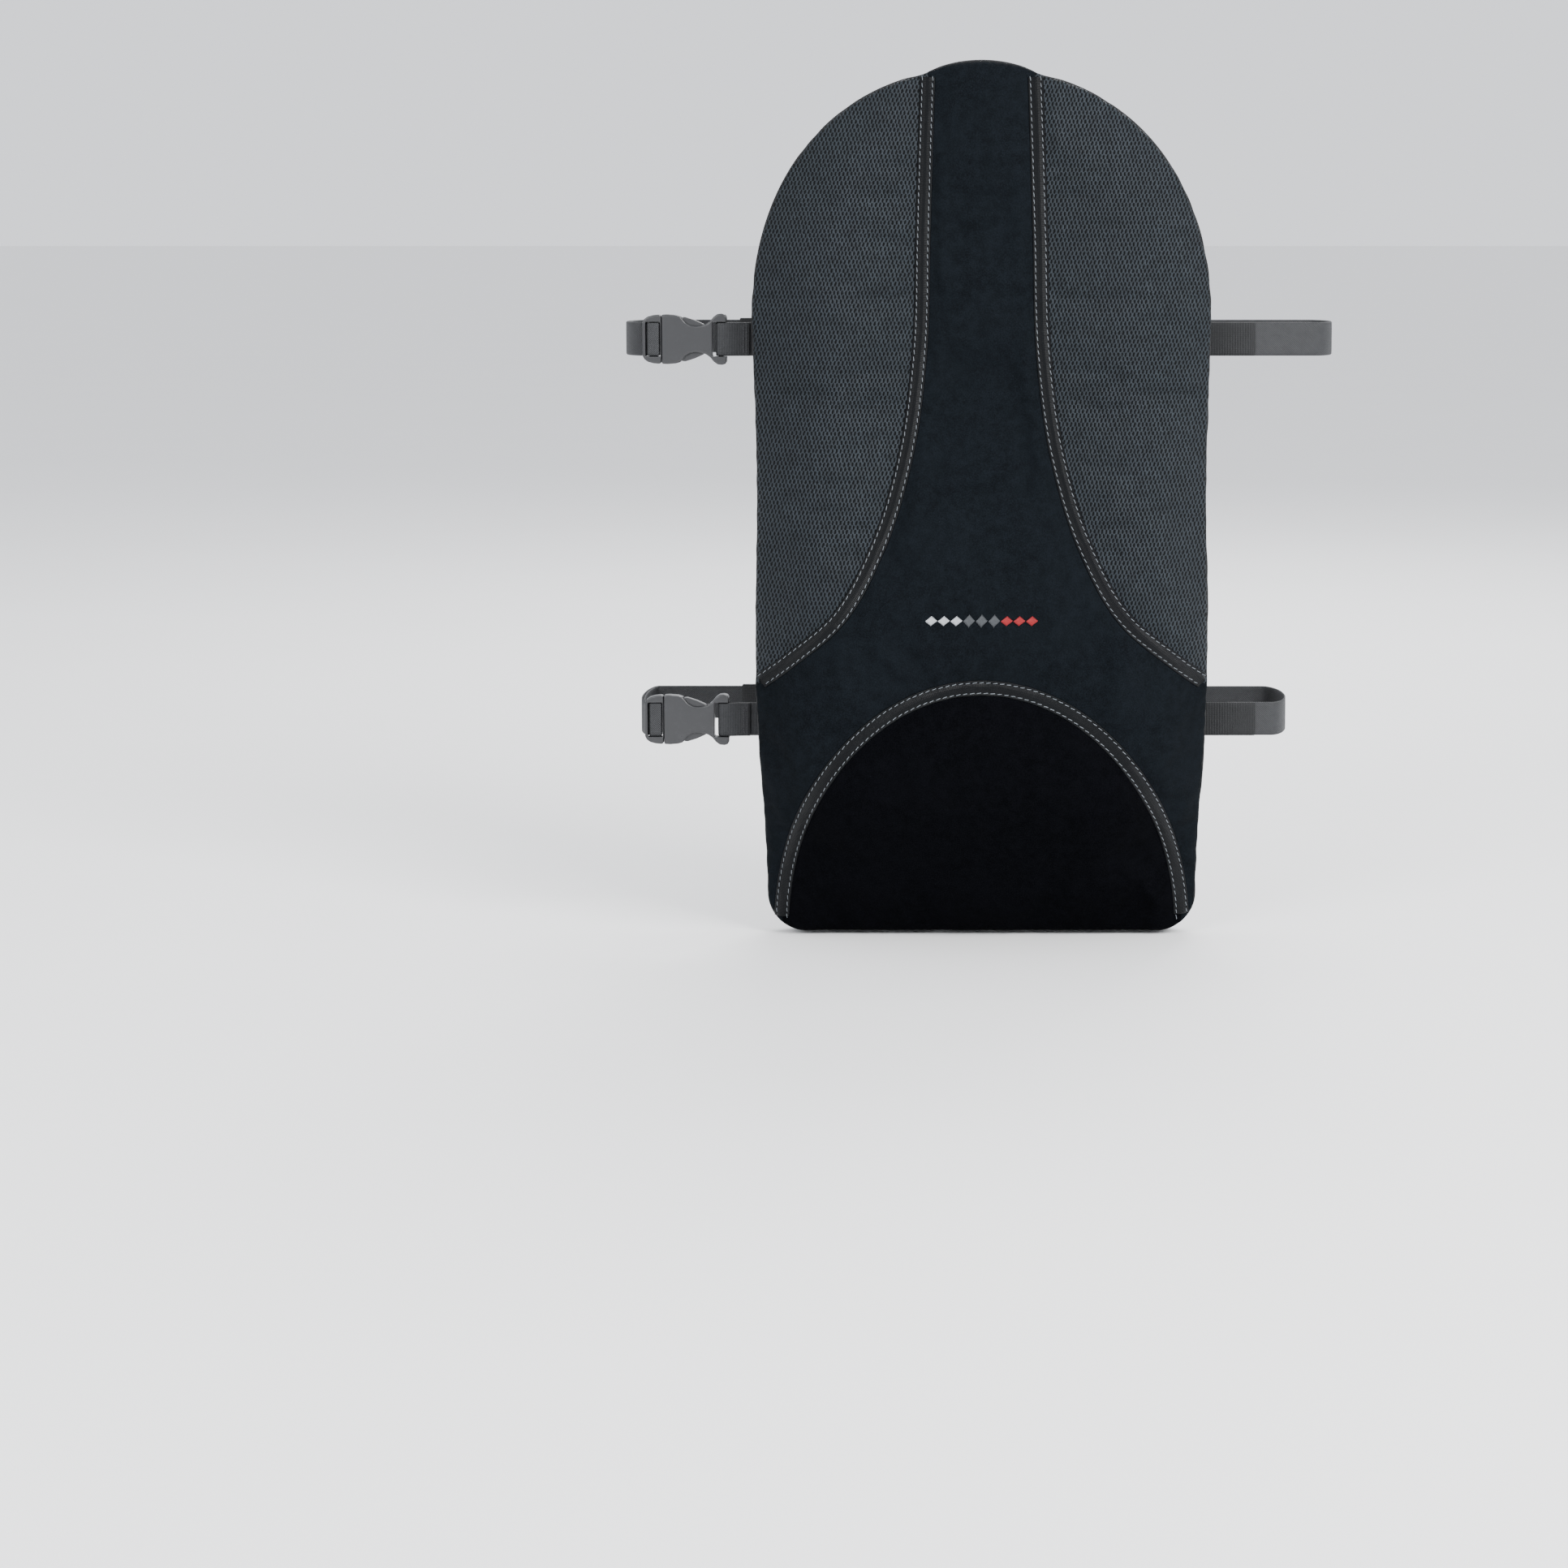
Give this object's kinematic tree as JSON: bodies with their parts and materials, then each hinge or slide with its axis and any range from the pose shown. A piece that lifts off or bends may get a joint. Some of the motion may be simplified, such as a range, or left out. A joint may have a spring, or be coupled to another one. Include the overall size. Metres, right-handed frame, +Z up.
{
  "type": "back support cushion",
  "caption": "Full-height contoured back cushion with an arched lumbar section, held round a chair back by two buckled belts.",
  "frame": {"origin": "on the flat upper part of the rear face, midway across, 510 mm above the hem", "axes": "+Z up, +Y out of the rear face towards the chair, so the front faces -Y; +X to the viewer's right"},
  "size_m": [0.5334, 0.1624, 0.65],
  "materials": {
    "air_mesh": "open air mesh, matt",
    "knit": "brushed black knit",
    "trim_band": "ribbed tape with a slight sheen",
    "embroidery": "satin stitch",
    "rear_cloth": "plain black weave",
    "zip_tape": "woven tape",
    "zip_coil": "moulded coil",
    "zip_metal": "dark enamel",
    "shell_plastic": "moulded, unfinished",
    "foam": "open-cell foam",
    "pad_foam": "firmer open-cell foam",
    "webbing": "ribbed webbing",
    "elastic": "woven elastic",
    "buckle_plastic": "moulded, fine texture"
  },
  "bodies": {
    "cushion": {"side_panel_left": "air_mesh", "side_panel_right": "air_mesh", "centre_panel": "knit", "lumbar_panel": "knit", "trim_band_left": "trim_band", "trim_band_right": "trim_band", "trim_band_arch": "trim_band", "front_motif": "embroidery", "side_gusset": "rear_cloth", "hem_gusset": "rear_cloth", "back_panel_upper": "rear_cloth", "back_panel_lower": "rear_cloth", "zip_tape_upper": "zip_tape", "zip_tape_lower": "zip_tape", "zip_chain": "zip_coil", "zip_stop_left": "zip_metal", "zip_stop_right": "zip_metal", "support_frame": "shell_plastic", "comfort_foam": "foam", "lumbar_foam": "pad_foam", "upper_buckle_tab": "webbing", "upper_strap_run": "webbing", "upper_strap_end": "webbing", "upper_elastic": "elastic", "upper_keeper": "elastic", "upper_buckle_female": "buckle_plastic", "lower_buckle_tab": "webbing", "lower_strap_run": "webbing", "lower_strap_end": "webbing", "lower_elastic": "elastic", "lower_keeper": "elastic", "lower_buckle_female": "buckle_plastic"},
    "upper_male_half": {"upper_buckle_male": "buckle_plastic"},
    "upper_top_prong": {"upper_prong_top": "buckle_plastic"},
    "upper_bottom_prong": {"upper_prong_bottom": "buckle_plastic"},
    "lower_male_half": {"lower_buckle_male": "buckle_plastic"},
    "lower_top_prong": {"lower_prong_top": "buckle_plastic"},
    "lower_bottom_prong": {"lower_prong_bottom": "buckle_plastic"},
    "slider": {"zip_slider": "zip_metal"},
    "pull": {"zip_pull": "zip_metal"}
  },
  "joints": [
    {"name": "upper_buckle_release", "type": "slide", "parent": "cushion", "child": "upper_male_half", "axis": [-1, 0, 0], "range_m": [0, 0.034], "deforming": ["upper_strap_end", "upper_prong_top", "upper_prong_bottom"]},
    {"name": "upper_top_prong_squeeze", "type": "hinge", "parent": "upper_male_half", "child": "upper_top_prong", "pos_m": [-0.2364, -0.00185, -0.0556], "axis": [0, 1, 0], "range_deg": [0, 7], "stiffness_Nm_per_rad": 0.05},
    {"name": "upper_bottom_prong_squeeze", "type": "hinge", "parent": "upper_male_half", "child": "upper_bottom_prong", "pos_m": [-0.2364, -0.00185, -0.0764], "axis": [0, -1, 0], "range_deg": [0, 7], "stiffness_Nm_per_rad": 0.05},
    {"name": "lower_buckle_release", "type": "slide", "parent": "cushion", "child": "lower_male_half", "axis": [-1, 0, 0], "range_m": [0, 0.034], "deforming": ["lower_strap_end", "lower_prong_top", "lower_prong_bottom"]},
    {"name": "lower_top_prong_squeeze", "type": "hinge", "parent": "lower_male_half", "child": "lower_top_prong", "pos_m": [-0.2349, -0.02385, -0.3386], "axis": [0, 1, 0], "range_deg": [0, 7], "stiffness_Nm_per_rad": 0.05},
    {"name": "lower_bottom_prong_squeeze", "type": "hinge", "parent": "lower_male_half", "child": "lower_bottom_prong", "pos_m": [-0.2349, -0.02385, -0.3594], "axis": [0, -1, 0], "range_deg": [0, 7], "stiffness_Nm_per_rad": 0.05},
    {"name": "zip_slide", "type": "slide", "parent": "cushion", "child": "slider", "axis": [-1, 0, 0], "range_m": [0, 0.213]},
    {"name": "zip_pull_swing", "type": "hinge", "parent": "slider", "child": "pull", "pos_m": [0.107, 0.00285, -0.484], "axis": [0, 0, 1], "range_deg": [0, 175]}
  ],
  "couplings": [
    {"joint": "upper_bottom_prong_squeeze", "follows": "upper_top_prong_squeeze", "ratio": 1},
    {"joint": "lower_bottom_prong_squeeze", "follows": "lower_top_prong_squeeze", "ratio": 1}
  ]
}
